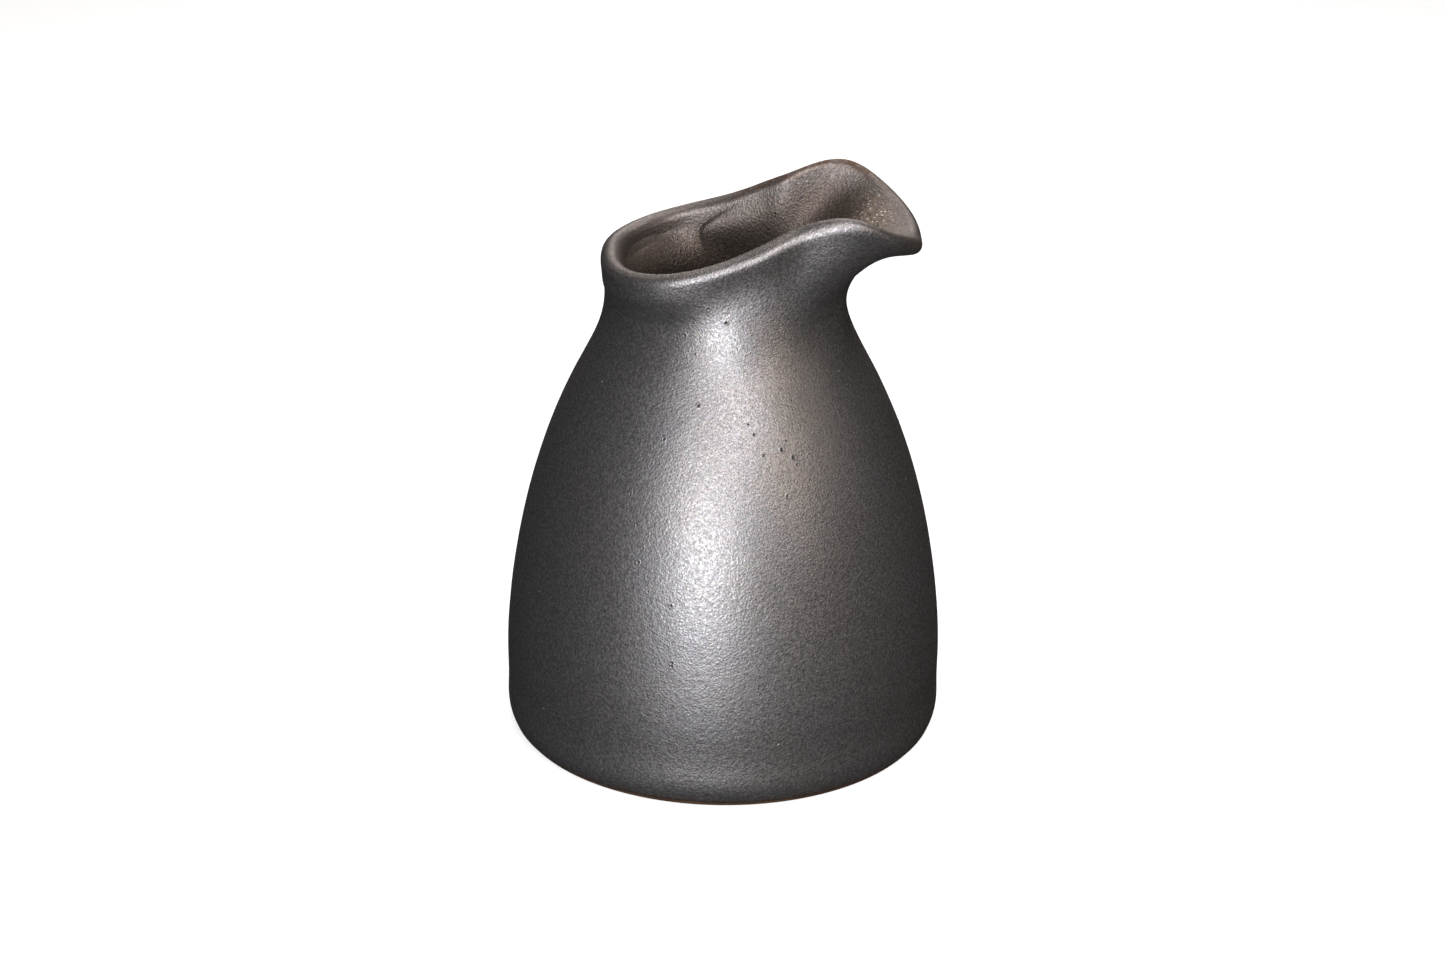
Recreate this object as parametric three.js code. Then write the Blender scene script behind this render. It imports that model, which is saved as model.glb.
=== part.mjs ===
// Small handleless sauce jug in stoneware with a pulled pouring lip.
//
// Millimetres, +Z up. The origin is the middle of the foot on the table and the
// lip points along +X. The jug is mirror symmetric about the XZ plane.
//
// Three physical layers, each a closed body of its own:
//   stoneware_body  the fired clay vessel: foot, wall, neck and pulled lip
//   outside_glaze   the metallic coat from the wiped foot line over the rim
//   inside_glaze    the liner coat poured inside, up to the inner edge of the rim
//
// Every layer is built from the same meridian sections, one for each azimuth.
// A section is the outline of the glazed jug cut by a half plane through +Z.

import * as THREE from 'three';

// ---- driving dimensions -------------------------------------------------

const AZIMUTH_STEPS = 48;

// Outer wall from the foot line to the neck, a body of revolution: radius at
// each height. The first step is the rounded corner above the foot.
const WALL_HEIGHTS = [1, 3.5, 9, 16, 26, 40, 53, 65, 76, 84];
const WALL_RADII = [43.8, 44.8, 45, 45, 44.4, 42.4, 39.4, 35.4, 30.5, 26.4];

// Outside radius of the neck, slightly pinched at the sides where the lip was
// pulled out.
const NECK_HEIGHT = 94.2;
const NECK_AZIMUTHS = [0, 50, 95, 140, 180];
const NECK_RADII = [24.3, 23.9, 23.4, 23.8, 24.3];

// Centre line of the rounded rim: radius and height at each azimuth from the lip.
const RIM_AZIMUTHS = [0, 10, 20, 30, 40, 52, 66, 82, 100, 120, 150, 180];
const RIM_RADII = [36.9, 36.9, 36.1, 34.6, 31, 24.6, 22.2, 21.4, 22.3, 24, 24.1, 22.9];
const RIM_HEIGHTS = [104, 105, 107.1, 109.7, 112.6, 111, 108.3, 105.6, 103.3, 101.4, 100.1, 100.3];

// Lean of the wall below the rim, degrees away from upright, and the length
// over which the wall runs straight at that lean.
const FLARE_AZIMUTHS = [0, 20, 40, 66, 100, 180];
const FLARE_ANGLES = [80, 69, 23, 12, 9, 7];
const REACH_AZIMUTHS = [0, 30, 60, 180];
const REACH_LENGTHS = [7, 8.5, 5, 4];

// Wall and rim thickness, glaze included; the rim thins slightly at the lip.
const WALL_THICKNESS = 4.2;
const LIP_THINNING = 0.6;
const LIP_THINNING_SPREAD = 22;

// Foot: the flat ring it stands on and the shallow recess inside the ring.
const FOOT_RING_RADIUS = 42;
const FOOT_RECESS_RADIUS = 34;
const FOOT_RECESS_DEPTH = 1;

// Floor inside the jug and the fillet between it and the wall.
const FLOOR_HEIGHT = 6;
const FLOOR_RADIUS = 31;

// Glaze coats: their thickness, the air gap left to the clay, how proud of the
// bare clay the wiped edge stands, and the gap between the two coats at the
// inner edge of the rim.
const GLAZE_THICKNESS = 0.5;
const GLAZE_GAP = 0.1;
const BARE_INSET = 0.3;
const SEAM_GAP = 0.3;

// Points along a section.
const WALL_STEPS = 18;
const FILLET_START = 2;
const CREST_STEPS = 4;
const FILLET_STEPS = 3;

// ---- curves -------------------------------------------------------------

// Smooth cubic through the knots, with continuous curvature. The end slopes are
// zero when flatEnds is set, otherwise the ends are straight.
function cubicThrough(knots, values, flatEnds) {
  const count = knots.length;
  const lower = new Array(count).fill(0);
  const middle = new Array(count).fill(1);
  const upper = new Array(count).fill(0);
  const right = new Array(count).fill(0);
  const gap = (i) => knots[i + 1] - knots[i];
  const slope = (i) => (values[i + 1] - values[i]) / gap(i);
  for (let i = 1; i < count - 1; i += 1) {
    lower[i] = gap(i - 1);
    middle[i] = 2 * (gap(i - 1) + gap(i));
    upper[i] = gap(i);
    right[i] = 6 * (slope(i) - slope(i - 1));
  }
  if (flatEnds) {
    const last = count - 1;
    middle[0] = 2 * gap(0);
    upper[0] = gap(0);
    right[0] = 6 * slope(0);
    lower[last] = gap(last - 1);
    middle[last] = 2 * gap(last - 1);
    right[last] = -6 * slope(last - 1);
  }
  for (let i = 1; i < count; i += 1) {
    const factor = lower[i] / middle[i - 1];
    middle[i] -= factor * upper[i - 1];
    right[i] -= factor * right[i - 1];
  }
  const bend = new Array(count).fill(0);
  for (let i = count - 1; i >= 0; i -= 1) {
    const next = i + 1 < count ? bend[i + 1] : 0;
    bend[i] = (right[i] - upper[i] * next) / middle[i];
  }
  return (x) => {
    let i = 0;
    while (i < count - 2 && x > knots[i + 1]) {
      i += 1;
    }
    const h = gap(i);
    const a = x - knots[i];
    const b = knots[i + 1] - x;
    const cubes = (bend[i] * b ** 3 + bend[i + 1] * a ** 3) / (6 * h);
    return cubes + (values[i] / h - bend[i] * h / 6) * b + (values[i + 1] / h - bend[i + 1] * h / 6) * a;
  };
}

const neckRadius = cubicThrough(NECK_AZIMUTHS, NECK_RADII, true);
const rimRadius = cubicThrough(RIM_AZIMUTHS, RIM_RADII, true);
const rimHeight = cubicThrough(RIM_AZIMUTHS, RIM_HEIGHTS, true);
const flareAngle = cubicThrough(FLARE_AZIMUTHS, FLARE_ANGLES, true);
const reachLength = cubicThrough(REACH_AZIMUTHS, REACH_LENGTHS, true);

// Points along a smooth curve through the given points, evenly spread from
// one end to the other.
function pointsAlong(points, steps) {
  const run = [0];
  for (let i = 1; i < points.length; i += 1) {
    run.push(run[i - 1] + points[i].distanceTo(points[i - 1]));
  }
  const alongR = cubicThrough(run, points.map((p) => p.x), false);
  const alongZ = cubicThrough(run, points.map((p) => p.y), false);
  const total = run[run.length - 1];
  const result = [];
  for (let k = 0; k <= steps; k += 1) {
    const s = total * k / steps;
    result.push(new THREE.Vector2(alongR(s), alongZ(s)));
  }
  return result;
}

// Each point moved along the normal on the right-hand side of its travel. The
// last point moves along endNormal.
function offsetPoints(points, distances, endNormal) {
  const last = points.length - 1;
  return points.map((point, i) => {
    const before = points[Math.max(i - 1, 0)];
    const after = points[Math.min(i + 1, last)];
    const along = after.clone().sub(before).normalize();
    const normal = i === last ? endNormal : new THREE.Vector2(along.y, -along.x);
    return point.clone().addScaledVector(normal, distances[i]);
  });
}

// ---- meridian section of the glazed jug ---------------------------------

// The section at one azimuth, in runs from the foot up the outside, over the
// crest, down the inside and across the floor. inset is how far the whole
// outline lies under the finished surface. The crest ends at the seam.
function section(azimuth, inset) {
  const rim = new THREE.Vector2(rimRadius(azimuth), rimHeight(azimuth));
  const flare = THREE.MathUtils.degToRad(flareAngle(azimuth));
  const thinning = LIP_THINNING * Math.exp(-((azimuth / LIP_THINNING_SPREAD) ** 2));
  const halfRim = (WALL_THICKNESS - thinning) / 2;
  const upward = new THREE.Vector2(Math.sin(flare), Math.cos(flare));
  const outward = new THREE.Vector2(Math.cos(flare), -Math.sin(flare));
  const edge = rim.clone().addScaledVector(outward, halfRim);

  const knots = WALL_HEIGHTS.map((z, i) => new THREE.Vector2(WALL_RADII[i], z));
  knots.push(new THREE.Vector2(neckRadius(azimuth), NECK_HEIGHT));
  knots.push(edge.clone().addScaledVector(upward, -reachLength(azimuth)));
  knots.push(edge);
  const finished = pointsAlong(knots, WALL_STEPS);
  const outer = offsetPoints(finished, finished.map(() => -inset), outward);

  const seamTurn = Math.PI - SEAM_GAP / halfRim;
  const crest = [];
  for (let k = 1; k <= CREST_STEPS; k += 1) {
    const turn = Math.min(Math.PI * k / CREST_STEPS, seamTurn);
    const point = rim.clone().addScaledVector(outward, (halfRim - inset) * Math.cos(turn));
    crest.push(point.addScaledVector(upward, (halfRim - inset) * Math.sin(turn)));
  }

  const thickness = finished.map((point, i) => {
    const blend = THREE.MathUtils.smoothstep(i / WALL_STEPS, 0.7, 1);
    return -(WALL_THICKNESS - blend * thinning) + inset;
  });
  const inner = offsetPoints(finished, thickness, outward).slice(FILLET_START).reverse();

  const wallFoot = inner[inner.length - 1];
  const floorEdge = new THREE.Vector2(FLOOR_RADIUS, FLOOR_HEIGHT - inset);
  const corner = new THREE.Vector2(wallFoot.x + 0.4, FLOOR_HEIGHT - inset);
  const fillet = new THREE.QuadraticBezierCurve(wallFoot, corner, floorEdge);
  const floor = fillet.getPoints(FILLET_STEPS).slice(1);
  return { outer, crest, inner, floor };
}

// ---- solids -------------------------------------------------------------

// A closed solid from one section for each azimuth. A section that starts and
// ends on the axis is capped by a single point there; a looped section closes
// on itself as a ring. Bands on the hidden back of a coat run the other way
// along the section, so they take the other diagonal, and the facets of the
// coat stay parallel to the facets of the clay.
function solidFromSections(sections, looped, isBack) {
  const rows = sections[0].length;
  const turns = sections.length;
  const vertices = [];
  const indices = [];
  const firstRow = looped ? 0 : 1;
  const lastRow = looped ? rows - 1 : rows - 2;
  sections.forEach((points, turn) => {
    const angle = 2 * Math.PI * turn / turns;
    for (let row = firstRow; row <= lastRow; row += 1) {
      const { x: radius, y: height } = points[row];
      vertices.push(radius * Math.cos(angle), radius * Math.sin(angle), height);
    }
  });
  const ringRows = lastRow - firstRow + 1;
  const at = (turn, row) => (turn % turns) * ringRows + (row % ringRows);
  const bands = looped ? ringRows : ringRows - 1;
  for (let turn = 0; turn < turns; turn += 1) {
    for (let row = 0; row < bands; row += 1) {
      const corners = [at(turn, row), at(turn + 1, row), at(turn + 1, row + 1), at(turn, row + 1)];
      const first = isBack(row) ? 1 : 0;
      const [a, b, c, d] = [0, 1, 2, 3].map((k) => corners[(k + first) % 4]);
      indices.push(a, b, c, a, c, d);
    }
  }
  if (!looped) {
    const start = vertices.length / 3;
    vertices.push(0, 0, sections[0][0].y, 0, 0, sections[0][rows - 1].y);
    for (let turn = 0; turn < turns; turn += 1) {
      indices.push(start, at(turn + 1, 0), at(turn, 0));
      indices.push(start + 1, at(turn, ringRows - 1), at(turn + 1, ringRows - 1));
    }
  }
  const geometry = new THREE.BufferGeometry();
  geometry.setAttribute('position', new THREE.Float32BufferAttribute(vertices, 3));
  geometry.setIndex(indices);
  geometry.computeVertexNormals();
  return geometry;
}

function azimuths() {
  const result = [];
  for (let turn = 0; turn < AZIMUTH_STEPS; turn += 1) {
    const angle = 360 * turn / AZIMUTH_STEPS;
    result.push(Math.min(angle, 360 - angle));
  }
  return result;
}

// The clay lies under the glaze everywhere except on the foot.
function clayBody() {
  const under = GLAZE_THICKNESS + GLAZE_GAP;
  const bareTop = new THREE.Vector2(WALL_RADII[0] - BARE_INSET, WALL_HEIGHTS[0] - BARE_INSET);
  return solidFromSections(azimuths().map((azimuth) => {
    const { outer, crest, inner, floor } = section(azimuth, under);
    return [
      new THREE.Vector2(0, FOOT_RECESS_DEPTH),
      new THREE.Vector2(FOOT_RECESS_RADIUS - 1.5, FOOT_RECESS_DEPTH),
      new THREE.Vector2(FOOT_RECESS_RADIUS, 0),
      new THREE.Vector2(FOOT_RING_RADIUS, 0),
      bareTop,
      ...outer,
      ...crest,
      ...inner,
      ...floor,
      new THREE.Vector2(0, FLOOR_HEIGHT - under),
    ];
  }), false, () => false);
}

// The outside coat: up the outer wall and over the crest to its inner edge.
function outsideCoat() {
  return solidFromSections(azimuths().map((azimuth) => {
    const face = section(azimuth, 0);
    const back = section(azimuth, GLAZE_THICKNESS);
    return [...face.outer, ...face.crest, ...back.crest.reverse(), ...back.outer.reverse()];
  }), true, (row) => row > WALL_STEPS + CREST_STEPS);
}

// The liner coat: from the inner edge of the rim down the wall and over the floor.
function insideCoat() {
  return solidFromSections(azimuths().map((azimuth) => {
    const face = section(azimuth, 0);
    const back = section(azimuth, GLAZE_THICKNESS);
    const bottom = new THREE.Vector2(0, FLOOR_HEIGHT);
    const underside = new THREE.Vector2(0, FLOOR_HEIGHT - GLAZE_THICKNESS);
    return [
      underside,
      ...back.floor.reverse(),
      ...back.inner.reverse(),
      ...face.inner,
      ...face.floor,
      bottom,
    ];
  }), false, (row) => row < FILLET_STEPS + WALL_STEPS - FILLET_START);
}

function piece(name, geometry, color, roughness, metalness) {
  const material = new THREE.MeshStandardMaterial({ color, roughness, metalness });
  const mesh = new THREE.Mesh(geometry, material);
  mesh.name = name;
  return mesh;
}

const group = new THREE.Group();
group.add(piece('stoneware_body', clayBody(), '#5b4436', 0.9, 0));
group.add(piece('outside_glaze', outsideCoat(), '#4d474b', 0.4, 0.8));
group.add(piece('inside_glaze', insideCoat(), '#4f443c', 0.45, 0.7));

export default group;
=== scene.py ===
"""Looks of a small stoneware sauce jug with a dark metallic glaze.

The jug has three pieces: the fired clay, seen only at the foot, the coat of
glaze outside, which runs over the rim, and the liner glaze inside. Each piece
is a fine closed mesh that stands for the CAD node of the same layer, and all
three follow one finished surface, which has the CAD's own sections.
"""

import math
import random

import bmesh
import bpy
import numpy as np
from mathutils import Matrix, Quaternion, Vector, noise
from mathutils.kdtree import KDTree


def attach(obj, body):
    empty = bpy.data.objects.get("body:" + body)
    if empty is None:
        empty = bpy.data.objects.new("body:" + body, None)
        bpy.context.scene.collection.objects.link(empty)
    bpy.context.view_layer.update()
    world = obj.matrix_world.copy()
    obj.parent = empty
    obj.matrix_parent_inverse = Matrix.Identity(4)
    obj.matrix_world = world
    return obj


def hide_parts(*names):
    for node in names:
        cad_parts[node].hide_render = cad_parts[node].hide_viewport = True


MM = 0.001

# ---- the jug's sections, in millimetres and degrees from the lip ------------

# Outer wall from the foot line to the neck: radius at each height.
WALL_HEIGHTS = [1, 3.5, 9, 16, 26, 40, 53, 65, 76, 84]
WALL_RADII = [43.8, 44.8, 45, 45, 44.4, 42.4, 39.4, 35.4, 30.5, 26.4]

# The neck, slightly pinched at the sides where the lip was pulled out.
NECK_HEIGHT = 94.2
NECK_AZIMUTHS = [0, 50, 95, 140, 180]
NECK_RADII = [24.3, 23.9, 23.4, 23.8, 24.3]

# Centre line of the rounded rim.
RIM_AZIMUTHS = [0, 10, 20, 30, 40, 52, 66, 82, 100, 120, 150, 180]
RIM_RADII = [36.9, 36.9, 36.1, 34.6, 31, 24.6, 22.2, 21.4, 22.3, 24, 24.1, 22.9]
RIM_HEIGHTS = [104, 105, 107.1, 109.7, 112.6, 111, 108.3, 105.6, 103.3, 101.4, 100.1, 100.3]

# Lean of the wall below the rim, and the length that runs straight at it.
FLARE_AZIMUTHS = [0, 20, 40, 66, 100, 180]
FLARE_ANGLES = [80, 69, 23, 12, 9, 7]
REACH_AZIMUTHS = [0, 30, 60, 180]
REACH_LENGTHS = [7, 8.5, 5, 4]

WALL_THICKNESS = 4.2
LIP_THINNING = 0.6
LIP_THINNING_SPREAD = 22
THINNING_START = 0.7  # share of the wall's length

FOOT_RING_RADIUS = 42
FOOT_RING_RADII = [36, 38, 40, 41.3]  # rings of the flat foot face, out to its corner
FOOT_CORNER_WIDTH = 2
FOOT_CORNER_RISE = 0.75
FOOT_CORNER_ANGLES = [20, 40, 60, 80]
FOOT_RECESS_DEPTH = 1
RECESS_RADIUS = 32  # of the recessed middle
RECESS_STEP = (32.4, 34.2)  # radii where the step down to the foot ring starts and ends
RECESS_STEP_ROWS = 8
RECESS_RIPPLE_HEIGHT = 0.03
RECESS_RIPPLE_RATE = 2.1  # radians for each mm

FLOOR_HEIGHT = 6
FLOOR_RADIUS = 31
FILLET_START = 2 / 18  # share of the wall's length
FILLET_BULGE = 0.4

GLAZE_THICKNESS = 0.5
CLAY_INSET = 0.6  # from the finished surface, under the glaze
CLAY_EDGE_INSET = 0.47  # where the wiped edge of the glaze lies on it
CLAY_EDGE_HEIGHTS = (2.5, 5)  # between the two insets
EDGE_LIFT = 0.04  # keeps the rounded edge of the glaze just clear of the clay

# ---- how finely the surfaces are cut ----------------------------------------

AZIMUTH_STEPS = 384
WALL_STEPS = 146
EDGE_ROWS = [0, 0.12, 0.3, 0.6, 1]  # mm above the wiped edge of the glaze
EDGE_INSETS = [0.5, 0.26, 0.12, 0.03, 0]  # the glaze rounds off at that edge
CREST_STEPS = 14
SEAM_BLEND = (11, 7)  # rows inside and outside over which the two colours meet
SEAM_TURN = 0.04  # the last of the crest, in radians, so that the seam is smooth
INNER_STEPS = 110
INNER_CROWDING = 1.4  # the rows inside crowd towards the rim
TANGENT_STEP = 0.01
FILLET_STEPS = 12
FLOOR_STEPS = 12
HIDDEN_STEP = 8  # hidden clay and the hidden back of a coat keep one row in this many
HIDDEN_CREST_STEP = 3  # the same over the crest
CLAY_FOOT_ROWS = 6  # of the clay's surface, kept close at its bare foot

# ---- handmade unevenness, in millimetres ------------------------------------

# Each layer as its wavelength, its height and a shift that makes it its own noise.
SWELL = (34, 0.12, 3)
RIPPLE = (8, 0.03, 7)
DIMPLE = (2.6, 0.012, 13)
EVEN_HEIGHTS = (1, 8)  # the unevenness fades in between these heights
WAVER = (14, 0.35, 21)  # of the wiped edge of the glaze

# Inside the neck the wall is pleated where the lip was pulled out of it.
CREASE_HEIGHTS = [80, 93, 96, 98.5, 100.2, 101.5, 102.6, 105]
CREASE_AZIMUTHS = [100, 101.8, 104.6, 106.8, 105.8, 102, 97.6, 86]
GROOVE_FADE_IN = (91, 95)
GROOVE_FADE_OUT = (101.8, 103.2)
GROOVE_WIDTH = 0.35
GROOVE_DEPTH = 0.15
PLEAT_MIDDLE = 100.4
PLEAT_SPREAD = 3
PLEAT_STEP = 1.2
PLEAT_WIDTH = 14
PLEAT_HEIGHT = 0.75

# A rough brown patch inside the lip, as places and spreads along x and y.
PATCH_MIDDLE = (29, 8.5)
PATCH_SPREAD = (4, 6.5)

# How far the glaze thins and browns: at the wiped foot, and at the crest of the rim.
# Along the far side of the lip the crest is browner still, partly glaze that thins there
# and partly painted shade.
THIN_FOOT_HEIGHTS = (1, 3.2)
THIN_CREST_ROWS = 4.5
THIN_CREST_LEAST = 0.3
FAR_SHADE_FROM = (15, 35)
FAR_SHADE_TO = (70, 95)

# Pinholes as azimuth from the lip, height and radius.
OUTSIDE_PINHOLES = [
    (-70, 71.8, 0.4), (-67, 70.1, 0.45), (-66, 68.8, 0.3), (-68, 72.8, 0.25), (-70, 63.5, 0.35),
    (-100, 79.7, 0.35), (-82, 76.6, 0.25), (-80, 74.6, 0.3), (-77, 70.7, 0.3),
    (-114, 50.1, 0.35), (-120, 62.3, 0.3), (-98, 97.2, 0.3), (-90, 94.9, 0.35),
]
INSIDE_PINHOLES = [(124, 93.8, 0.45), (118, 96, 0.25), (60, 104, 0.3), (24, 107, 0.3), (12, 104.5, 0.35)]
SCATTERED_PINHOLES = 50
SCATTERED_HEIGHTS = (8, 96)
SCATTERED_RADII = (0.16, 0.34)
PINHOLE_SEED = 11
PINHOLE_DEPTH = 0.8  # share of the radius
PINHOLE_LIP = 0.14  # share of the radius, like the three below
PINHOLE_LIP_RADIUS = 1.2
PINHOLE_LIP_WIDTH = 0.35
PINHOLE_REACH = 1.9
PINHOLE_CUTS = 5
CELL = 0.5  # about one face of the mesh
SAME_SIDE = 0.5  # least agreement of two normals on one side of a coat
SHARP_ANGLE = 65


# ---- curves -----------------------------------------------------------------


def cubic_through(knots, values, start_slope=None, end_slope=None):
    """The smooth cubic through the knots as a function, with continuous curvature
    and, at an end that is given no slope, no curvature."""
    knots = np.asarray(knots, float)
    values = np.asarray(values, float).reshape(len(knots), -1)
    gaps = np.diff(knots)[:, None]
    slopes = np.diff(values, axis=0) / gaps
    last = len(knots) - 1
    system = np.eye(last + 1)
    right = np.zeros_like(values)
    for i in range(1, last):
        system[i, i - 1 : i + 2] = gaps[i - 1, 0], 2 * (gaps[i - 1, 0] + gaps[i, 0]), gaps[i, 0]
        right[i] = 6 * (slopes[i] - slopes[i - 1])
    if start_slope is not None:
        system[0, :2] = 2 * gaps[0, 0], gaps[0, 0]
        right[0] = 6 * (slopes[0] - start_slope)
    if end_slope is not None:
        system[last, -2:] = gaps[-1, 0], 2 * gaps[-1, 0]
        right[last] = 6 * (end_slope - slopes[-1])
    bend = np.linalg.solve(system, right)

    def at(x):
        x = np.atleast_1d(np.asarray(x, float))
        i = np.clip(np.searchsorted(knots, x) - 1, 0, last - 1)
        gap = gaps[i]
        after = (x - knots[i])[:, None]
        before = (knots[i + 1] - x)[:, None]
        curved = (bend[i] * before**3 + bend[i + 1] * after**3) / (6 * gap)
        low = (values[i] / gap - bend[i] * gap / 6) * before
        high = (values[i + 1] / gap - bend[i + 1] * gap / 6) * after
        return curved + low + high

    return at


def smoothstep(x, low, high):
    t = np.clip((x - low) / (high - low), 0, 1)
    return t * t * (3 - 2 * t)


# ---- the finished surface ---------------------------------------------------

rim_at = cubic_through(RIM_AZIMUTHS, list(zip(RIM_RADII, RIM_HEIGHTS)), 0, 0)
neck_at = cubic_through(NECK_AZIMUTHS, NECK_RADII, 0, 0)
flare_at = cubic_through(FLARE_AZIMUTHS, FLARE_ANGLES, 0, 0)
reach_at = cubic_through(REACH_AZIMUTHS, REACH_LENGTHS, 0, 0)
crease_azimuth_at = cubic_through(CREASE_HEIGHTS, CREASE_AZIMUTHS)

OUTER_ROWS = len(EDGE_ROWS) - 1 + WALL_STEPS
SEAM_ROW = OUTER_ROWS + CREST_STEPS
CREST_ROW = OUTER_ROWS + CREST_STEPS // 2

azimuths = np.arange(AZIMUTH_STEPS) * 360 / AZIMUTH_STEPS
azimuths[azimuths > 180] -= 360


def section(azimuth, wiped):
    """Radius and height along the finished jug at one azimuth: up the outside from
    where the glaze is wiped off, over the crest, down the inside and over the floor."""
    rim = rim_at(azimuth)[0]
    flare = math.radians(flare_at(azimuth)[0, 0])
    reach = reach_at(azimuth)[0, 0]
    thinning = LIP_THINNING * math.exp(-((azimuth / LIP_THINNING_SPREAD) ** 2))
    half_rim = (WALL_THICKNESS - thinning) / 2
    upward = np.array([math.sin(flare), math.cos(flare)])
    outward = np.array([math.cos(flare), -math.sin(flare)])
    edge = rim + outward * half_rim

    neck = (neck_at(azimuth)[0, 0], NECK_HEIGHT)
    knots = np.array([*zip(WALL_RADII, WALL_HEIGHTS), neck, edge - upward * reach, edge])
    run = np.concatenate([[0], np.cumsum(np.linalg.norm(np.diff(knots, axis=0), axis=1))])
    length = run[-1]
    wall = cubic_through(run, knots, end_slope=upward)
    rows = np.linspace(wiped + EDGE_ROWS[-1], length, WALL_STEPS)
    outer = wall(np.concatenate([wiped + np.array(EDGE_ROWS[:-1]), rows]))

    turns = np.linspace(0, math.pi, CREST_STEPS)[1:, None]
    turns = np.insert(turns, -1, math.pi - SEAM_TURN, axis=0)
    crest = rim + half_rim * (outward * np.cos(turns) + upward * np.sin(turns))

    shares = 1 - (1 - FILLET_START) * np.linspace(0, 1, INNER_STEPS) ** INNER_CROWDING
    positions = shares * length
    along = wall(positions) - wall(positions - TANGENT_STEP)
    along[0] = upward * TANGENT_STEP
    inward = np.stack([-along[:, 1], along[:, 0]], axis=1)
    inward /= np.linalg.norm(along, axis=1, keepdims=True)
    thickness = WALL_THICKNESS - smoothstep(shares, THINNING_START, 1) * thinning
    inner = wall(positions) + inward * thickness[:, None]

    corner = np.array([inner[-1, 0] + FILLET_BULGE, FLOOR_HEIGHT])
    t = np.linspace(0, 1, FILLET_STEPS + 1)[1:, None]
    fillet = inner[-1] * (1 - t) ** 2 + corner * 2 * t * (1 - t) + (FLOOR_RADIUS, FLOOR_HEIGHT) * t**2
    floor_radii = np.linspace(FLOOR_RADIUS, 0, FLOOR_STEPS + 1)[1:-1]
    floor = np.stack([floor_radii, np.full_like(floor_radii, FLOOR_HEIGHT)], axis=1)
    return np.concatenate([outer, crest, inner[1:], fillet, floor])


def revolved(sections):
    """Rings of points from (radius, height) sections: row, azimuth, xyz."""
    angles = np.radians(azimuths)[:, None]
    radius, height = sections[..., 0], sections[..., 1]
    points = np.stack([radius * np.cos(angles), radius * np.sin(angles), height], axis=2)
    return points.transpose(1, 0, 2)


def normals_of(rings):
    around = np.roll(rings, -1, axis=1) - np.roll(rings, 1, axis=1)
    normals = np.cross(around, np.gradient(rings, axis=0))
    return normals / np.linalg.norm(normals, axis=2, keepdims=True)


def noise_at(points, length, height, shift):
    """Smooth noise of that wavelength and height at each point."""
    offset = Vector((shift, 0, 0))
    values = [noise.noise(Vector(point) / length + offset) for point in points.reshape(-1, 3)]
    return height * np.array(values).reshape(points.shape[:-1])


def crease(rings):
    """How far the wall stands in along the pleat, and how much of its shade a point has."""
    height = rings[..., 2]
    line = crease_azimuth_at(height.ravel()).reshape(height.shape)
    across = np.radians(line - azimuths) * np.hypot(rings[..., 0], rings[..., 1])
    inside = (np.arange(len(rings))[:, None] > SEAM_ROW) * (azimuths > 0)
    window = smoothstep(height, *GROOVE_FADE_IN) * (1 - smoothstep(height, *GROOVE_FADE_OUT))
    groove = inside * window * np.exp(-((across / GROOVE_WIDTH) ** 2))
    pleat = smoothstep(across, 0, PLEAT_STEP) * (1 - smoothstep(across, PLEAT_STEP, PLEAT_WIDTH))
    pleat = inside * pleat * np.exp(-(((height - PLEAT_MIDDLE) / PLEAT_SPREAD) ** 2))
    return PLEAT_HEIGHT * pleat - GROOVE_DEPTH * groove, groove


def finished_surface(wiped):
    """Rings of points and normals, and the crease's shade at each point."""
    sections = [section(abs(azimuth), start) for azimuth, start in zip(azimuths, wiped)]
    rings = revolved(np.array(sections))
    fold, shade = crease(rings)
    uneven = sum(noise_at(rings, *layer) for layer in (SWELL, RIPPLE, DIMPLE))
    uneven *= smoothstep(rings[..., 2], *EVEN_HEIGHTS)
    rings = rings + normals_of(rings) * (uneven + fold)[..., None]
    return rings, normals_of(rings), shade


# ---- meshes -----------------------------------------------------------------


def skin(name, rings, marks, poles=()):
    """A closed mesh over rings of points. Two poles close its ends, and without
    them its last ring joins its first. Marks are named numbers, one for each point."""
    count, steps, _ = rings.shape
    here = np.arange(steps)
    there = np.roll(here, -1)
    faces = []
    for row in range(count - bool(len(poles))):
        low, high = row * steps, (row + 1) % count * steps
        faces += np.stack([low + here, low + there, high + there, high + here], axis=1).tolist()
    points = rings.reshape(-1, 3)
    if len(poles):
        start, top = len(points), (count - 1) * steps
        for a, b in zip(here.tolist(), there.tolist()):
            faces += [(start, b, a), (start + 1, top + a, top + b)]
        points = np.concatenate([points, poles])
    mesh = bpy.data.meshes.new(name)
    mesh.from_pydata((points * MM).tolist(), [], faces)
    for label, values in marks.items():
        layer = mesh.attributes.new(label, "FLOAT", "POINT")
        flat = np.concatenate([np.ravel(values), np.zeros(len(poles))])
        layer.data.foreach_set("value", flat.astype(np.float32))
    piece = bpy.data.objects.new(name, mesh)
    bpy.context.scene.collection.objects.link(piece)
    return piece


def spots_on(rings, normals, holes):
    """The point and normal of the surface nearest to each azimuth and height."""
    spots = []
    for azimuth, height, radius in holes:
        column = np.argmin(np.abs((azimuths - azimuth + 180) % 360 - 180))
        row = np.argmin(np.abs(rings[:, column, 2] - height))
        spots.append((Vector(rings[row, column]) * MM, Vector(normals[row, column]), radius * MM))
    return spots


def tree_of(places):
    tree = KDTree(len(places))
    for i, place in enumerate(places):
        tree.insert(place, i)
    tree.balance()
    return tree


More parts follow.
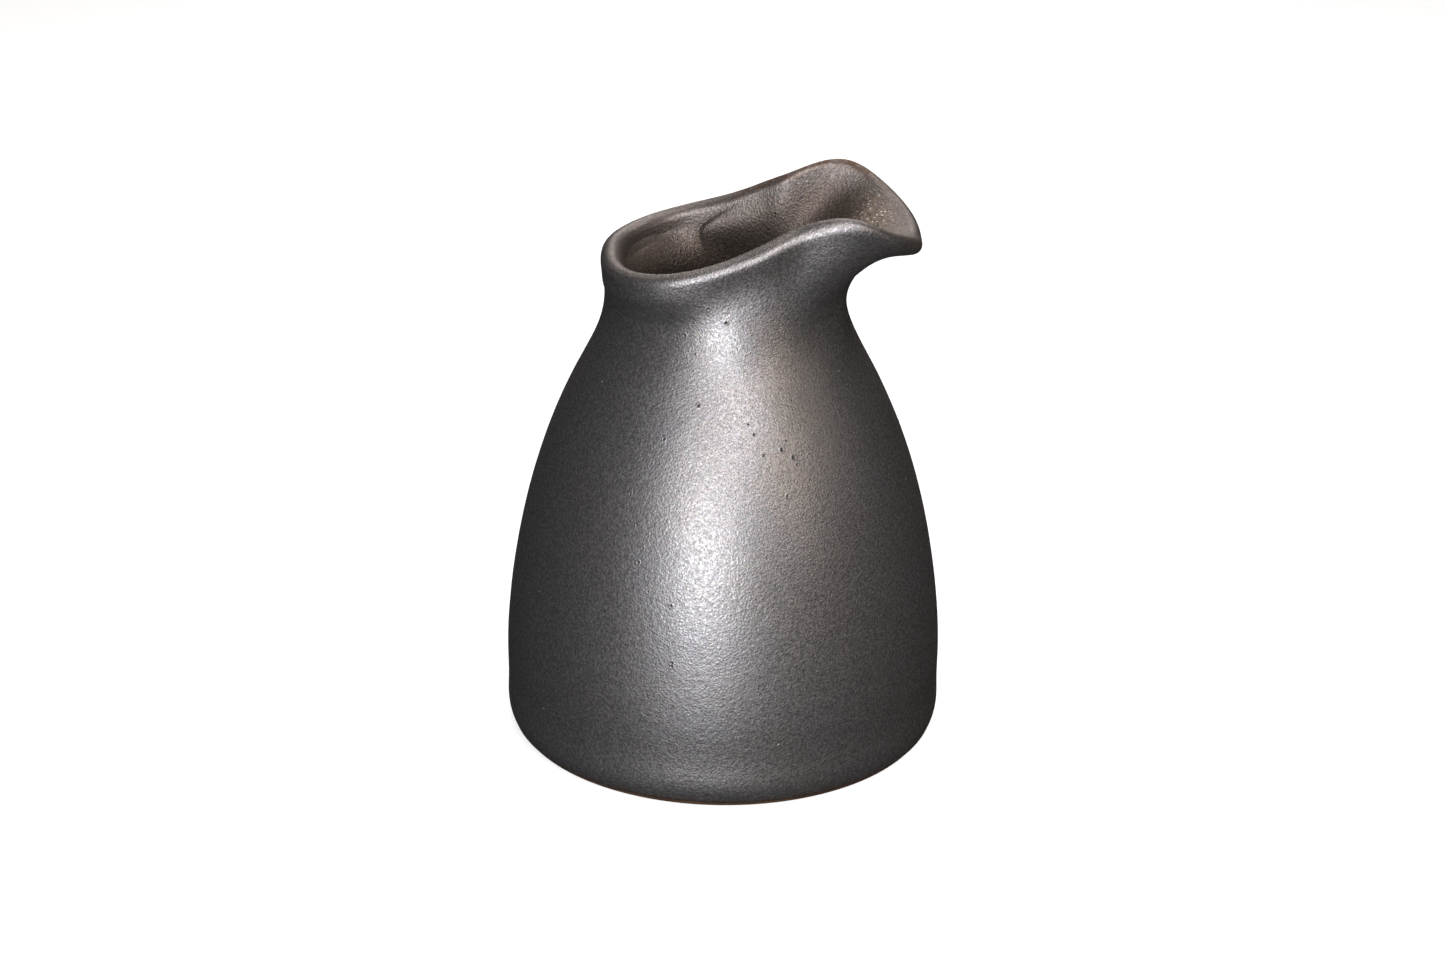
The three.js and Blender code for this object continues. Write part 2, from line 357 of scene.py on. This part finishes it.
def sink_pinholes(piece, spots):
    """Cuts the mesh finely round each spot and sinks a burst bubble into it."""
    cut = bmesh.new()
    cut.from_mesh(piece.data)
    cut.normal_update()
    cut.faces.ensure_lookup_table()
    faces = tree_of([face.calc_center_median() for face in cut.faces])
    edges = set()
    for place, normal, radius in spots:
        for _, i, _ in faces.find_range(place, PINHOLE_REACH * radius + CELL * MM):
            if cut.faces[i].normal.dot(normal) > SAME_SIDE:
                edges.update(cut.faces[i].edges)
    bmesh.ops.subdivide_edges(cut, edges=list(edges), cuts=PINHOLE_CUTS, use_grid_fill=True)
    cut.normal_update()
    cut.verts.ensure_lookup_table()
    # How deep each point lies in a pinhole's bowl, kept for the painted shade there.
    pit_shade = cut.verts.layers.float["pit_shade"]
    points = tree_of([vert.co for vert in cut.verts])
    for place, normal, radius in spots:
        for _, i, distance in points.find_range(place, PINHOLE_REACH * radius):
            vert = cut.verts[i]
            if vert.normal.dot(normal) < SAME_SIDE:
                continue
            share = distance / radius
            bowl = max(0, 1 - share**2) ** 2
            lip = math.exp(-(((share - PINHOLE_LIP_RADIUS) / PINHOLE_LIP_WIDTH) ** 2))
            vert.co += normal * radius * (PINHOLE_LIP * lip - PINHOLE_DEPTH * bowl)
            vert[pit_shade] = max(vert[pit_shade], bowl)
    cut.to_mesh(piece.data)
    cut.free()


def finish_piece(piece, material, node):
    piece.data.materials.append(material)
    piece.data.shade_smooth()
    piece.data.set_sharp_from_angle(angle=math.radians(SHARP_ANGLE))
    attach(piece, "root")
    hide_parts(node)


# ---- materials --------------------------------------------------------------


class Graph:
    """Short calls for building one material's nodes."""

    def __init__(self, name):
        self.material = bpy.data.materials.new(name)
        self.material.use_nodes = True
        self.tree = self.material.node_tree
        self.shader = self.tree.nodes["Principled BSDF"]
        self.place = self.node("ShaderNodeTexCoord").outputs["Object"]

    def node(self, kind, inputs=(), **settings):
        made = self.tree.nodes.new(kind)
        for key, value in settings.items():
            setattr(made, key, value)
        for key, value in dict(inputs).items():
            self.feed(made.inputs[key], value)
        return made

    def feed(self, socket, value):
        if isinstance(value, bpy.types.NodeSocket):
            self.tree.links.new(value, socket)
        else:
            socket.default_value = value

    def noise(self, size, detail=2, output="Fac"):
        """Noise whose features are about that many millimetres across."""
        inputs = {"Vector": self.place, "Scale": 1 / (size * MM), "Detail": detail}
        return self.node("ShaderNodeTexNoise", inputs).outputs[output]

    def cells(self, size, **settings):
        """The distance from the middle of cells of about that many millimetres."""
        inputs = {"Vector": self.place, "Scale": 1 / (size * MM)}
        return self.node("ShaderNodeTexVoronoi", inputs, **settings).outputs["Distance"]

    def grey(self, value):
        return self.node("ShaderNodeCombineColor", {0: value, 1: value, 2: value}).outputs[0]

    def mark(self, label):
        return self.node("ShaderNodeAttribute", attribute_name=label).outputs["Fac"]

    def spread(self, value, low, high, to_low=0.0, to_high=1.0):
        """The value's range from low to high, spread smoothly over another range."""
        inputs = {"Value": value, "From Min": low, "From Max": high}
        inputs |= {"To Min": to_low, "To Max": to_high}
        made = self.node("ShaderNodeMapRange", inputs, interpolation_type="SMOOTHSTEP")
        return made.outputs["Result"]

    def math(self, operation, a, b):
        return self.node("ShaderNodeMath", {0: a, 1: b}, operation=operation).outputs[0]

    def mix(self, share, a, b, blend="MIX"):
        """Blends two colours; sockets 0, 6 and 7 are the share and the colours."""
        made = self.node("ShaderNodeMix", data_type="RGBA", blend_type=blend)
        self.feed(made.inputs[0], share)
        self.feed(made.inputs[6], a)
        self.feed(made.inputs[7], b)
        return made.outputs[2]

    def bump(self, height, rise, below=None):
        """A bump whose full height is that many millimetres, over another bump."""
        inputs = {"Height": height, "Distance": rise * MM, "Strength": 1.0}
        if below:
            inputs["Normal"] = below
        return self.node("ShaderNodeBump", inputs).outputs["Normal"]

    def shade(self, **inputs):
        for key, value in inputs.items():
            self.feed(self.shader.inputs[key.replace("_", " ")], value)
        return self.material


def colour(red, green, blue):
    return (red, green, blue, 1)


SEAM_COLOUR = colour(0.235, 0.21, 0.2)
# Brown of thinned glaze; along the far crest of the lip it is partly painted shade.
THIN_GLAZE_AND_SHADE_COLOUR = colour(0.17, 0.1, 0.06)
PATCH_COLOUR = colour(0.26, 0.21, 0.17)
CRYSTAL_COLOUR = colour(0.9, 0.87, 0.82)
# Painted shade, put into the crease's groove and the bowls of the pinholes.
SHADE_COLOUR = colour(0.02, 0.014, 0.01)

# Sizes of the glaze's patterns and rises of its bumps, in millimetres. A pattern's
# NOISE or EDGE is the stretch of its values that is spread over its whole effect.
COMMON_NOISE = (0.3, 0.7)
DRIFT_SIZE = 16
HUE_SIZE, HUE_SHARE = 0.45, 0.2
SPECKLE_SIZE, SPECKLE_NOISE, SPECKLE_RANGE = 0.33, (0.32, 0.62), (0.68, 1.12)
WEAR_SIZE, WEAR_NOISE, WEAR_ROUGHNESS = 0.9, (0.3, 0.6), 0.15
PATCH_SIZE, PATCH_NOISE = 1.6, (0.35, 0.55)
CRYSTAL_SIZE, CRYSTAL_EDGE = 0.8, (0.34, 0.16)
CRUST_SIZE, CRUST_RISE = 0.7, 0.3
PEEL_SIZE, PEEL_RISE = 0.9, 0.05
GRAIN_SIZE = 0.4
# Shares of painted shade: the crease's, and how far any painted shade goes towards its colour.
SHADE_SHARE, PAINTED_SHADE_SHARE = 0.2, 0.8
ROUGHNESS_SIZE, ROUGHNESS_RANGE = 0.6, (-0.06, 0.08)
GLAZE_METAL = 0.88


def glaze(name, cool, warm, rough, grain):
    """Dark metallic glaze: orange peel, grain of that rise, drifts of colour, brown where
    the glaze thins, which along the far crest of the lip is partly painted shade, and
    painted shade in the crease's groove and the pinholes' bowls."""
    graph = Graph(name)
    drift = graph.spread(graph.noise(DRIFT_SIZE, 3), *COMMON_NOISE)
    base = graph.mix(graph.mark("seam"), graph.mix(drift, cool, warm), SEAM_COLOUR)
    base = graph.mix(HUE_SHARE, base, graph.noise(HUE_SIZE, 2, "Color"), "SOFT_LIGHT")
    speckle = graph.spread(graph.noise(SPECKLE_SIZE, 3), *SPECKLE_NOISE, *SPECKLE_RANGE)
    base = graph.mix(1.0, base, graph.grey(speckle), "MULTIPLY")

    # Brown where the glaze thins, partly painted shade along the far crest of the lip.
    worn_and_shaded = graph.spread(graph.noise(WEAR_SIZE, 4), *WEAR_NOISE)
    worn_and_shaded = graph.math("MULTIPLY", graph.mark("thin_glaze_and_shade"), worn_and_shaded)
    base = graph.mix(worn_and_shaded, base, THIN_GLAZE_AND_SHADE_COLOUR)
    patch = graph.spread(graph.noise(PATCH_SIZE, 4), *PATCH_NOISE)
    patch = graph.math("MULTIPLY", graph.mark("patch"), patch)
    base = graph.mix(patch, base, PATCH_COLOUR)
    crystal = graph.spread(graph.cells(CRYSTAL_SIZE), *CRYSTAL_EDGE)
    base = graph.mix(graph.math("MULTIPLY", patch, crystal), base, CRYSTAL_COLOUR)
    # Painted shade: the glaze darkens along the crease's groove and in the bowls of the pinholes.
    dark = graph.math("MULTIPLY", graph.mark("shade"), SHADE_SHARE)
    dark = graph.math("MAXIMUM", graph.mark("pit_shade"), dark)
    base = graph.mix(graph.math("MULTIPLY", dark, PAINTED_SHADE_SHARE), base, SHADE_COLOUR)

    smoothest, roughest = (rough + change for change in ROUGHNESS_RANGE)
    roughness = graph.spread(graph.noise(ROUGHNESS_SIZE, 3), *COMMON_NOISE, smoothest, roughest)
    roughness = graph.math("ADD", roughness, graph.math("MULTIPLY", worn_and_shaded, WEAR_ROUGHNESS))
    peel = graph.bump(graph.noise(PEEL_SIZE, 2), PEEL_RISE)
    fine = graph.bump(graph.cells(GRAIN_SIZE, feature="SMOOTH_F1"), grain, peel)
    crust = graph.math("MULTIPLY", patch, graph.noise(CRUST_SIZE, 4))
    crust = graph.bump(crust, CRUST_RISE, fine)
    return graph.shade(Base_Color=base, Metallic=GLAZE_METAL, Roughness=roughness, Normal=crust)


CLAY_DARK, CLAY_LIGHT = colour(0.075, 0.036, 0.02), colour(0.13, 0.068, 0.038)
CLAY_SIZE, CLAY_NOISE = 5, (0.35, 0.65)
SAND_COLOUR, SAND_SHARE = colour(0.05, 0.025, 0.015), 0.35
SAND_SIZE, SAND_EDGE = 0.7, (0.1, 0.3)
CLAY_ROUGHNESS_SIZE, CLAY_ROUGHNESS = 1.2, (0.72, 0.9)
COARSE_SIZE, COARSE_RISE = 1.1, 0.12
FINE_SIZE, FINE_RISE = 0.3, 0.05


def bare_clay(name):
    """Dark brown fired stoneware with sand in it."""
    graph = Graph(name)
    drift = graph.spread(graph.noise(CLAY_SIZE, 4), *CLAY_NOISE)
    base = graph.mix(drift, CLAY_DARK, CLAY_LIGHT)
    sand = graph.spread(graph.cells(SAND_SIZE), *SAND_EDGE)
    base = graph.mix(graph.math("MULTIPLY", sand, SAND_SHARE), base, SAND_COLOUR)
    roughness = graph.spread(graph.noise(CLAY_ROUGHNESS_SIZE, 3), *COMMON_NOISE, *CLAY_ROUGHNESS)
    coarse = graph.bump(graph.noise(COARSE_SIZE, 4), COARSE_RISE)
    fine = graph.bump(graph.noise(FINE_SIZE, 3), FINE_RISE, coarse)
    return graph.shade(Base_Color=base, Roughness=roughness, Normal=fine)


# ---- the jug ----------------------------------------------------------------

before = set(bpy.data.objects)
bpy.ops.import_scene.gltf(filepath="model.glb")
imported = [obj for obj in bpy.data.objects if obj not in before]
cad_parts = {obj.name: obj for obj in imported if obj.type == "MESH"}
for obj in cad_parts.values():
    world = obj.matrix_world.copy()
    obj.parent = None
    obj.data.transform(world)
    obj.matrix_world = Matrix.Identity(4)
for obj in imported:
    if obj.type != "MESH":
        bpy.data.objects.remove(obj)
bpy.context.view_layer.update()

foot_line = revolved(np.array([[(FOOT_RING_RADIUS, 0)]] * AZIMUTH_STEPS))[0]
waver = noise_at(foot_line, *WAVER)
rings, normals, shade = finished_surface(waver - waver.min())

rows = np.arange(len(rings))[:, None]
crest_closeness = np.exp(-(((rows - CREST_ROW) / THIN_CREST_ROWS) ** 2))
foot_closeness = 1 - smoothstep(rings[..., 2], *THIN_FOOT_HEIGHTS)
# The crest browns more along the far side of the lip: painted shade over the thinned glaze's own brown.
far_side_shade = smoothstep(azimuths, *FAR_SHADE_FROM) * (1 - smoothstep(azimuths, *FAR_SHADE_TO))
browning_and_shade = THIN_CREST_LEAST + (1 - THIN_CREST_LEAST) * far_side_shade
past_seam = rows - SEAM_ROW
blend = np.where(past_seam > 0, *SEAM_BLEND)
away = ((rings[..., :2] - PATCH_MIDDLE) / PATCH_SPREAD) ** 2
inside_lip = (past_seam > 0) * (rings[..., 2] > NECK_HEIGHT)

marks = {
    # Brown of thinned glaze at the foot and the crest, with painted shade along the far crest.
    "thin_glaze_and_shade": np.maximum(browning_and_shade * crest_closeness, foot_closeness),
    "shade": shade,
    "patch": inside_lip * np.exp(-away.sum(axis=2)),
    "seam": np.repeat(np.exp(-((past_seam / blend) ** 2)), AZIMUTH_STEPS, axis=1),
    # Filled in as the pinholes are sunk, for the painted shade in their bowls.
    "pit_shade": np.zeros_like(shade),
}


def marks_of(index):
    return {label: values[index] for label, values in marks.items()}


def coat_outside():
    """The outside coat, over the crest to the seam, with its rounded wiped edge."""
    crest = range(OUTER_ROWS, SEAM_ROW, HIDDEN_CREST_STEP)
    hidden = np.array([*range(0, OUTER_ROWS, HIDDEN_STEP), *crest, SEAM_ROW])
    face = rings[: SEAM_ROW + 1].copy()
    insets = np.array(EDGE_INSETS)[:, None, None]
    insets = insets - EDGE_LIFT * (insets > 0)
    face[: len(EDGE_INSETS)] -= normals[: len(EDGE_INSETS)] * insets
    back = rings[hidden] - normals[hidden] * GLAZE_THICKNESS
    index = np.concatenate([np.arange(SEAM_ROW + 1), hidden[::-1]])
    return skin("outside_coat", np.concatenate([face, back[::-1]]), marks_of(index))


def coat_inside():
    """The inside coat, from the seam down the wall and over the floor."""
    hidden = range(SEAM_ROW + 1, len(rings) - 1, HIDDEN_STEP)
    hidden = np.array([SEAM_ROW, *hidden, len(rings) - 1])
    back = rings[hidden] - normals[hidden] * GLAZE_THICKNESS
    index = np.concatenate([hidden[::-1], np.arange(SEAM_ROW, len(rings))])
    poles = [(0, 0, FLOOR_HEIGHT - GLAZE_THICKNESS), (0, 0, FLOOR_HEIGHT)]
    return skin("inside_coat", np.concatenate([back[::-1], rings[SEAM_ROW:]]), marks_of(index), poles)


def foot_section():
    """Radius and height under the foot, from near its middle to its rounded corner."""
    recess = [
        (r, FOOT_RECESS_DEPTH + RECESS_RIPPLE_HEIGHT * math.sin(RECESS_RIPPLE_RATE * r))
        for r in np.linspace(1, RECESS_RADIUS, RECESS_RADIUS)
    ]
    start, end = RECESS_STEP
    step = [
        (start + (end - start) * t, FOOT_RECESS_DEPTH * (1 - float(smoothstep(t, 0, 1))))
        for t in np.linspace(0, 1, RECESS_STEP_ROWS)
    ]
    ring = [(r, 0) for r in FOOT_RING_RADII]
    corner = [
        (FOOT_RING_RADII[-1] + FOOT_CORNER_WIDTH * math.sin(a), FOOT_CORNER_RISE * (1 - math.cos(a)))
        for a in np.radians(FOOT_CORNER_ANGLES)
    ]
    return recess + step + ring + corner


def fired_clay():
    """The clay under both coats, bare at the foot."""
    surface, outward, _ = finished_surface(np.zeros(AZIMUTH_STEPS))
    wall = range(HIDDEN_STEP, len(surface), HIDDEN_STEP)
    index = np.array([*range(CLAY_FOOT_ROWS), *wall, len(surface) - 1])
    index = np.union1d(index, range(OUTER_ROWS, SEAM_ROW, HIDDEN_CREST_STEP))
    deeper = smoothstep(surface[index, :, 2], *CLAY_EDGE_HEIGHTS)
    depth = CLAY_EDGE_INSET + (CLAY_INSET - CLAY_EDGE_INSET) * deeper
    shell = surface[index] - outward[index] * depth[..., None]
    underside = revolved(np.array([foot_section()] * AZIMUTH_STEPS))
    poles = [(0, 0, FOOT_RECESS_DEPTH), (0, 0, FLOOR_HEIGHT - CLAY_INSET)]
    return skin("clay_body", np.concatenate([underside, shell]), {}, poles)


outside_coat = coat_outside()
inside_coat = coat_inside()
clay_body = fired_clay()

scatter = random.Random(PINHOLE_SEED)
scattered = [
    (scatter.uniform(-180, 180), scatter.uniform(*SCATTERED_HEIGHTS), scatter.uniform(*SCATTERED_RADII))
    for _ in range(SCATTERED_PINHOLES)
]
outer, inner = slice(0, OUTER_ROWS), slice(SEAM_ROW, SEAM_ROW + INNER_STEPS)
sink_pinholes(outside_coat, spots_on(rings[outer], normals[outer], OUTSIDE_PINHOLES + scattered))
sink_pinholes(inside_coat, spots_on(rings[inner], normals[inner], INSIDE_PINHOLES))

# Cool and warm colour of the drifts, roughness and rise of the grain.
gunmetal = glaze("outside_glaze", colour(0.3, 0.29, 0.3), colour(0.3, 0.285, 0.282), 0.45, 0.048)
# The liner's colours are partly its own browner glaze and partly painted shade of the mouth's dim
# inside.
liner_with_painted_shade = glaze("inside_glaze", colour(0.19, 0.159, 0.143), colour(0.18, 0.141, 0.115), 0.52, 0.09)
finish_piece(outside_coat, gunmetal, "outside_glaze")
finish_piece(inside_coat, liner_with_painted_shade, "inside_glaze")
finish_piece(clay_body, bare_clay("bare_stoneware"), "stoneware_body")

# ---- studio, in metres and degrees ------------------------------------------

CAMERA_PLACE = (-0.0004, -0.55, 0.282)
CAMERA_TARGET = (-0.0004, 0, 0.0518)
CAMERA_ROLL = 0.508
CAMERA_LENS = 72.46
CAMERA_SENSOR = 36

JUG_MIDDLE = Vector((0, 0, 0.055))
LIGHT_DISTANCE = 0.75
# Azimuth from the camera's side and positive to its right, elevation, size, power
# and tint. The low key light makes the tall highlight, upper, left and right soften
# its sides, far_right lights the flank, and the other four the mouth and the back.
LIGHTS = {
    "key": (-10, 5, (0.25, 0.2), 3.2, (0.955, 0.97, 1)),
    "upper": (11, 37, (0.3, 0.26), 2.3, (1, 0.98, 0.985)),
    "left": (-22, 24, (0.2, 0.24), 0.75, (1, 0.98, 0.99)),
    "right": (40, 22, (0.2, 0.24), 0.66, (1, 0.82, 0.66)),
    "far_right": (75, 22, (0.2, 0.24), 0.16, (1, 0.88, 0.78)),
    "top": (180, 80, (0.4, 0.3), 1.1, (1, 0.96, 0.92)),
    "rear": (180, 38, (0.3, 0.3), 0.9, (1, 0.96, 0.92)),
    "back_right": (135, 50, (0.25, 0.25), 0.9, (1, 0.94, 0.9)),
    "back_left": (-135, 50, (0.25, 0.25), 0.2, (1, 0.94, 0.9)),
}

FLOOR_HALF = 4
PAPER_COLOUR, PAPER_ROUGHNESS, PAPER_GLOW = colour(0.8, 0.8, 0.8), 0.9, 0.72
WORLD_COLOUR = (1, 0.96, 0.93, 1)
WORLD_SEEN = 1  # its strength where the camera sees it
WORLD_FILL = 0.003  # its strength as light on the jug

scene = bpy.context.scene
scene.view_settings.view_transform = "Standard"


def aimed(place, target, roll=0.0):
    """The rotation that looks from a place to a target, turned by roll degrees."""
    facing = (Vector(target) - Vector(place)).to_track_quat("-Z", "Y")
    return facing @ Quaternion((0, 0, 1), math.radians(roll))


def soft_light(name, azimuth, elevation, size, power, tint):
    """A rectangle of light that faces the jug."""
    light = bpy.data.lights.new(name, "AREA")
    light.shape = "RECTANGLE"
    light.size, light.size_y = size
    light.energy = power
    light.color = tint
    made = bpy.data.objects.new(name, light)
    scene.collection.objects.link(made)
    a, e = math.radians(azimuth), math.radians(elevation)
    way = Vector((math.sin(a) * math.cos(e), -math.cos(a) * math.cos(e), math.sin(e)))
    made.location = way * LIGHT_DISTANCE + JUG_MIDDLE
    made.rotation_mode = "QUATERNION"
    made.rotation_quaternion = aimed(made.location, JUG_MIDDLE)
    made.visible_camera = False


camera = bpy.data.objects.new("camera", bpy.data.cameras.new("camera"))
scene.collection.objects.link(camera)
camera.data.lens = CAMERA_LENS
camera.data.sensor_width = CAMERA_SENSOR
camera.location = CAMERA_PLACE
camera.rotation_mode = "QUATERNION"
camera.rotation_quaternion = aimed(CAMERA_PLACE, CAMERA_TARGET, CAMERA_ROLL)
scene.camera = camera

for name, settings in LIGHTS.items():
    soft_light(name, *settings)

floor = bpy.data.objects.new("floor", bpy.data.meshes.new("floor"))
corners = [(-1, -1, 0), (1, -1, 0), (1, 1, 0), (-1, 1, 0)]
floor.data.from_pydata([Vector(corner) * FLOOR_HALF for corner in corners], [], [(0, 1, 2, 3)])
scene.collection.objects.link(floor)
paper = Graph("paper")
floor.data.materials.append(
    paper.shade(
        Base_Color=PAPER_COLOUR,
        Roughness=PAPER_ROUGHNESS,
        Emission_Color=colour(1, 1, 1),
        Emission_Strength=PAPER_GLOW,
    )
)
floor.visible_glossy = False
floor.visible_diffuse = False
floor.visible_shadow = False

world = bpy.data.worlds.new("studio")
world.use_nodes = True
scene.world = world
background = world.node_tree.nodes["Background"]
background.inputs["Color"].default_value = WORLD_COLOUR
seen = world.node_tree.nodes.new("ShaderNodeLightPath")
strength = world.node_tree.nodes.new("ShaderNodeMapRange")
strength.inputs["To Min"].default_value = WORLD_FILL
strength.inputs["To Max"].default_value = WORLD_SEEN
world.node_tree.links.new(seen.outputs["Is Camera Ray"], strength.inputs["Value"])
world.node_tree.links.new(strength.outputs["Result"], background.inputs["Strength"])
